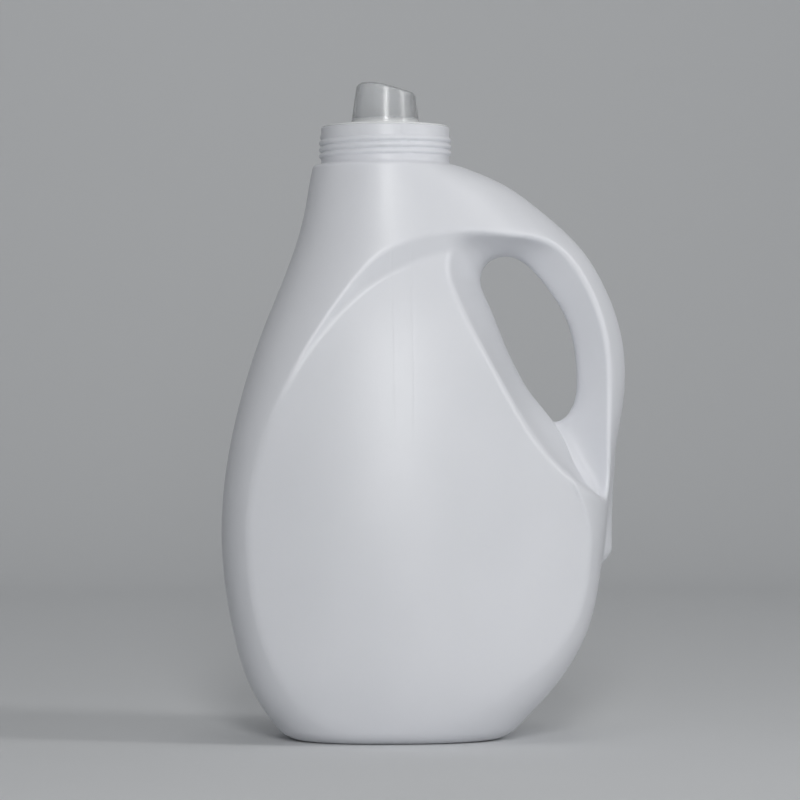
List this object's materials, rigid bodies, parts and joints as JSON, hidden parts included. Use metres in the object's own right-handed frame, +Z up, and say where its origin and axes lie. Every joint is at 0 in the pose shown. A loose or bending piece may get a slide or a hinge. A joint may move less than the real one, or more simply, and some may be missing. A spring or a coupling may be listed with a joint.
{
  "type": "laundry detergent bottle",
  "caption": "Natural white blow-moulded laundry detergent bottle with a hollow grip, sunk label faces and a threaded neck, open, its clear pour spout pressed in.",
  "frame": {"origin": "on the neck's axis, at the level that the base stands on", "axes": "+Z up along the neck's axis; +X towards the handle, -X the pour side; Y = 0 is the mould's parting plane"},
  "size_m": [0.1822, 0.1054, 0.2941],
  "materials": {
    "natural_polyethylene": "satin natural white polyethylene, slightly translucent, faint vertical die lines",
    "clear_polypropylene": "see-through natural polypropylene, smooth"
  },
  "bodies": {
    "root": {"bottle": "natural_polyethylene", "pour_spout": "clear_polypropylene"}
  },
  "joints": []
}
